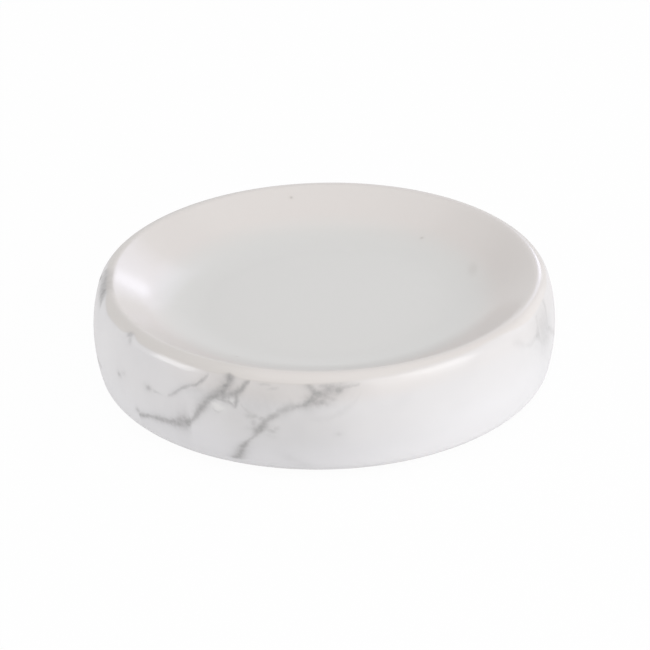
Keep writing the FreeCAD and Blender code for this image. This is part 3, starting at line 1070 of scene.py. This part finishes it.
@dataclass
class DishBody:
    """The ceramic body, turned from a half section whose arcs run into each other.

    Lengths are in millimetres. The starts, ends, bowl side and recess draft are in degrees.
    """

    belly_radius: float
    foot_plane: float
    top: float
    belly_height: float = 13.4
    shoulder_round: float = 4.6
    crest_round: float = 2.2
    bowl_depth: float = 9.0
    bowl_cove: float = 34.0
    foot_round: float = 3.8
    foot_bevel: float = 0.8
    foot_land: float = 10.0
    floor_thickness: float = 6.0
    recess_round: float = 5.0
    foot_inner_bevel: float = 1.2
    shoulder_start: float = 17.0
    crest_start: float = 62.0
    bowl_side: float = 30.0
    foot_start: float = 14.0
    foot_end: float = 60.0
    recess_draft: float = 12.0
    section_step: float = 0.45
    turn_steps: int = 288
    finish: GlazedCeramic = GlazedCeramic()

    @classmethod
    def from_frame(cls) -> "DishBody":
        """Take the body's width and heights from the frame.

        Returns:
            A body as wide and as high as the frame's.
        """
        low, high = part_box("dish_body")
        width = min(high.x - low.x, high.y - low.y)
        return cls(belly_radius=width / 2.0 / METRES, foot_plane=low.z / METRES, top=high.z / METRES)

    def section(self) -> list[tuple[float, float]]:
        """Lay out the half section.

        Returns:
            Its points, from the middle of the recess round the foot, wall and rim to the middle of the bowl.
        """
        # The radii of the wall's two long arcs, above and below the belly
        belly = self.foot_plane + self.belly_height
        rise = self.shoulder_round * (sine(self.crest_start) - sine(self.shoulder_start))
        rise += self.crest_round * (1.0 - sine(self.crest_start))
        upper = (self.top - belly - rise) / sine(self.shoulder_start)
        drop = self.foot_round * (sine(self.foot_end) - sine(self.foot_start)) + self.foot_bevel
        lower = (self.belly_height - drop) / sine(self.foot_start)

        # The foot, the shoulder and the rolled crest
        foot_centre = (
            self.belly_radius - lower + (lower - self.foot_round) * cosine(self.foot_start),
            belly - (lower - self.foot_round) * sine(self.foot_start),
        )
        bevel_top = foot_centre[0] + self.foot_round * cosine(self.foot_end)
        land_outer = bevel_top - self.foot_bevel * tangent(self.foot_end)
        land_inner = land_outer - self.foot_land
        shoulder_centre = (
            self.belly_radius - upper + (upper - self.shoulder_round) * cosine(self.shoulder_start),
            belly + (upper - self.shoulder_round) * sine(self.shoulder_start),
        )
        crest_centre = (
            shoulder_centre[0] + (self.shoulder_round - self.crest_round) * cosine(self.crest_start),
            self.top - self.crest_round,
        )

        # The bowl
        floor = self.top - self.bowl_depth
        side_top = crest_centre[1] + self.crest_round * cosine(self.bowl_side)
        cove_top = floor + self.bowl_cove * (1.0 - cosine(self.bowl_side))
        side_inner = crest_centre[0] - self.crest_round * sine(self.bowl_side)
        side_inner -= (side_top - cove_top) / tangent(self.bowl_side)
        cove_centre = (side_inner - self.bowl_cove * sine(self.bowl_side), floor + self.bowl_cove)

        # The recess below
        ceiling = floor - self.floor_thickness
        draft = tangent(self.recess_draft)
        corner_level = ceiling - self.recess_round
        side_at_corner = land_inner - (corner_level - self.foot_plane) * draft
        corner_centre = (side_at_corner - self.recess_round / cosine(self.recess_draft), corner_level)

        outline = Outline(self.section_step)
        outline.add((0.0, ceiling))
        outline.line((corner_centre[0], ceiling))
        outline.arc(corner_centre, self.recess_round, 90.0, self.recess_draft)
        inner_bevel = self.foot_inner_bevel
        outline.line((land_inner - inner_bevel * draft, self.foot_plane + inner_bevel))
        outline.line((land_inner + inner_bevel, self.foot_plane))
        outline.line((land_outer, self.foot_plane))
        outline.line((bevel_top, self.foot_plane + self.foot_bevel))
        outline.arc(foot_centre, self.foot_round, -self.foot_end, -self.foot_start)
        outline.arc((self.belly_radius - lower, belly), lower, -self.foot_start, 0.0)
        outline.arc((self.belly_radius - upper, belly), upper, 0.0, self.shoulder_start)
        outline.arc(shoulder_centre, self.shoulder_round, self.shoulder_start, self.crest_start)
        outline.arc(crest_centre, self.crest_round, self.crest_start, 90.0 + self.bowl_side)
        outline.line((side_inner, cove_top))
        outline.arc(cove_centre, self.bowl_cove, self.bowl_side - 90.0, -90.0)
        outline.line((0.0, floor))
        return outline.points

    def build(self) -> bpy.types.Object:
        """Make the body's mesh, dress it and seat it in the frame.

        Returns:
            The body's object.
        """
        mesh = turned_mesh("ceramic_body", self.section(), self.turn_steps)
        body = bpy.data.objects.new("ceramic_body", mesh)
        bpy.context.scene.collection.objects.link(body)
        mesh.materials.append(self.finish.material(self.belly_radius, self.top))
        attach(body, ROOT)
        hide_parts("dish_body")
        return body


@dataclass(frozen=True)
class PadRubber:
    """The finish of the non-slip pads: milky soft rubber with a fine grain."""

    tint: Colour = (0.66, 0.66, 0.64)
    dusty: Colour = (0.58, 0.575, 0.55)
    dust_grain: Grain = Grain(1.6, 3.0, 2.0)
    dust_span: Span = (0.4, 0.75)
    roughness: float = 0.5
    dust_roughness: float = 0.2
    skin_grain: Grain = Grain(0.25, 2.0, 7.0)
    skin_relief: float = 0.03
    ior: float = 1.45

    def material(self) -> bpy.types.Material:
        """Make the material.

        Returns:
            The material.
        """
        shader = Shader("pad_rubber")
        dust = shader.level(self.dust_grain)
        return shader.dress(
            Base_Color=shader.blend(dust.rise(*self.dust_span), self.tint, self.dusty),
            Roughness=self.roughness + dust * self.dust_roughness,
            IOR=self.ior,
            Normal=shader.bump(shader.level(self.skin_grain) * self.skin_relief),
        )


@dataclass
class Pads:
    """The four non-slip pads, which keep their solids and get a finish."""

    names: tuple[str, ...]
    finish: PadRubber = PadRubber()

    @classmethod
    def from_frame(cls, nodes: dict[str, bpy.types.Object]) -> "Pads":
        """The pads among the frame's nodes."""
        return cls(tuple(name for name in sorted(nodes) if name.startswith("pad_")))

    def dress(self, nodes: dict[str, bpy.types.Object]) -> None:
        """Give each pad its finish.

        Args:
            nodes: the frame's nodes by name.
        """
        material = self.finish.material()
        for name in self.names:
            nodes[name].data.materials.clear()
            nodes[name].data.materials.append(material)
            LOG.info("dressed %s", name)


@dataclass(frozen=True)
class PhotoCamera:
    """The camera at the photograph's viewpoint, in pixels of its 650 by 650 frame and in millimetres."""

    picture_px: float = 650.0
    focal_px: float = 2877.0
    aim_px: tuple[float, float] = (324.2, 317.8)
    aim_height: float = 14.5
    distance: float = 750.0
    elevation: float = 27.0
    roll: float = 1.29
    sensor: float = 36.0
    nearest: float = 10.0
    furthest: float = 20000.0

    def build(self) -> bpy.types.Object:
        """Make the camera and set it as the scene's.

        Returns:
            The camera's object.
        """
        data = bpy.data.cameras.new("photo_camera")
        data.sensor_width = self.sensor
        data.lens = self.focal_px / self.picture_px * self.sensor
        data.shift_x = (self.picture_px / 2.0 - self.aim_px[0]) / self.picture_px
        data.shift_y = (self.aim_px[1] - self.picture_px / 2.0) / self.picture_px
        data.clip_start, data.clip_end = self.nearest * METRES, self.furthest * METRES
        camera = bpy.data.objects.new("photo_camera", data)
        bpy.context.scene.collection.objects.link(camera)
        away = Vector((0.0, -cosine(self.elevation), sine(self.elevation)))
        spot = Vector((0.0, 0.0, self.aim_height)) + away * self.distance
        turn = (-away).to_track_quat("-Z", "Y").to_matrix().to_4x4()
        roll = Matrix.Rotation(math.radians(-self.roll), 4, "Z")
        camera.matrix_world = Matrix.Translation(spot * METRES) @ turn @ roll
        bpy.context.scene.camera = camera
        return camera


@dataclass(frozen=True)
class Softbox:
    """A soft lamp, aimed at the dish.

    Its direction is in degrees from the front, positive to the right, and in degrees above the floor. Its
    sizes and its distance are in metres and its power is in watts.
    """

    name: str
    around: float
    elevation: float
    width: float
    height: float
    power: float
    tint: Colour = (1.0, 1.0, 1.0)
    distance: float = 1.2

    def build(self) -> bpy.types.Object:
        """Make the lamp.

        Returns:
            The lamp's object.
        """
        data = bpy.data.lights.new(self.name, "AREA")
        data.shape = "RECTANGLE"
        data.size, data.size_y = self.width, self.height
        data.energy = self.power
        data.color = self.tint
        lamp = bpy.data.objects.new(self.name, data)
        bpy.context.scene.collection.objects.link(lamp)
        level = cosine(self.elevation)
        towards = Vector((sine(self.around) * level, -cosine(self.around) * level, sine(self.elevation)))
        turn = (-towards).to_track_quat("-Z", "Y").to_matrix().to_4x4()
        lamp.matrix_world = Matrix.Translation(towards * self.distance) @ turn
        return lamp


@dataclass(frozen=True)
class Studio:
    """A plain white floor and surround, and soft lamps.

    The surround lights the dish at its own level. The camera and the glaze see it, and most of the floor, as
    white. The rest of the floor's colour keeps the dish's shadow.
    """

    floor_tint: Colour = (0.9, 0.9, 0.9)
    floor_roughness: float = 0.9
    floor_white: float = 0.97
    surround: float = 0.515
    floor_reach: float = 3.0
    corners: tuple[Span, ...] = ((-1.0, -1.0), (1.0, -1.0), (1.0, 1.0), (-1.0, 1.0))
    lamps: tuple[Softbox, ...] = (
        Softbox("key_softbox", 47.0, 22.0, 1.10, 0.90, 4.7, (1.0, 0.998, 0.985)),
        Softbox("rim_strip", 62.0, 30.0, 0.80, 0.54, 2.2),
        Softbox("left_strip", -77.0, 17.5, 0.46, 0.52, 2.5),
        Softbox("left_low_softbox", -88.0, 9.0, 1.50, 0.60, 0.9, (0.99, 0.985, 1.01)),
        Softbox("top_softbox", 0.0, 90.0, 1.20, 1.20, 1.8),
        Softbox("back_softbox", 122.0, 18.0, 0.80, 0.60, 0.7, (0.96, 0.96, 1.06)),
        Softbox("back_window", 158.0, 24.5, 0.42, 0.60, 0.43, (0.88, 0.93, 1.22)),
        Softbox("back_pane", 157.0, 26.0, 0.26, 0.50, 0.23, (0.88, 0.93, 1.22)),
        Softbox("back_spot", 157.0, 17.0, 0.20, 0.20, 0.18, (0.94, 0.95, 1.08)),
    )

    def build(self) -> None:
        """Make the floor, the surround and the lamps."""
        mesh = bpy.data.meshes.new("floor")
        corners = [(across * self.floor_reach, deep * self.floor_reach, 0.0) for across, deep in self.corners]
        mesh.from_pydata(corners, [], [range(len(corners))])
        floor = bpy.data.objects.new("floor", mesh)
        bpy.context.scene.collection.objects.link(floor)
        mesh.materials.append(self.floor_material())
        bpy.context.scene.world = self.world()
        for lamp in self.lamps:
            lamp.build()

    def floor_material(self) -> bpy.types.Material:
        """A pale floor that is seen as white, less the shade on it.

        Returns:
            The floor's material.
        """
        shader = Shader("pale_floor")
        white = shader.node("ShaderNodeEmission", {}, {"Color": WHITE, "Strength": 1.0})
        shown = shader.node("ShaderNodeMixShader", {}, {0: shader.seen() * self.floor_white})
        shader.feed(shown.inputs[1], shader.surface.outputs["BSDF"])
        shader.feed(shown.inputs[2], white.outputs["Emission"])
        shader.feed(shader.output.inputs["Surface"], shown.outputs["Shader"])
        return shader.dress(
            Base_Color=self.floor_tint, Roughness=self.floor_roughness, Specular_IOR_Level=0.0
        )

    def world(self) -> bpy.types.World:
        """The surround: a soft level for the light, and white where it is seen.

        Returns:
            The world.
        """
        world = bpy.data.worlds.new("surround")
        tree = NodeTree(world)
        light, seen = (
            tree.node("ShaderNodeBackground", {}, {"Color": WHITE, "Strength": strength})
            for strength in (self.surround, 1.0)
        )
        shown = tree.node("ShaderNodeMixShader", {}, {0: tree.seen()})
        tree.feed(shown.inputs[1], light.outputs["Background"])
        tree.feed(shown.inputs[2], seen.outputs["Background"])
        tree.node("ShaderNodeOutputWorld", {}, {"Surface": shown.outputs["Shader"]})
        return world


def main() -> None:
    """Build the dish, its stage and its camera."""
    logging.basicConfig(level=logging.INFO, format="%(name)s: %(message)s")
    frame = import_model()
    body = DishBody.from_frame()
    piece = body.build()
    LOG.info("built %s, %d faces", piece.name, len(piece.data.polygons))
    Pads.from_frame(frame["nodes"]).dress(frame["nodes"])
    Studio().build()
    PhotoCamera().build()
    bpy.context.scene.view_settings.view_transform = "Standard"


if __name__ == "__main__":
    main()
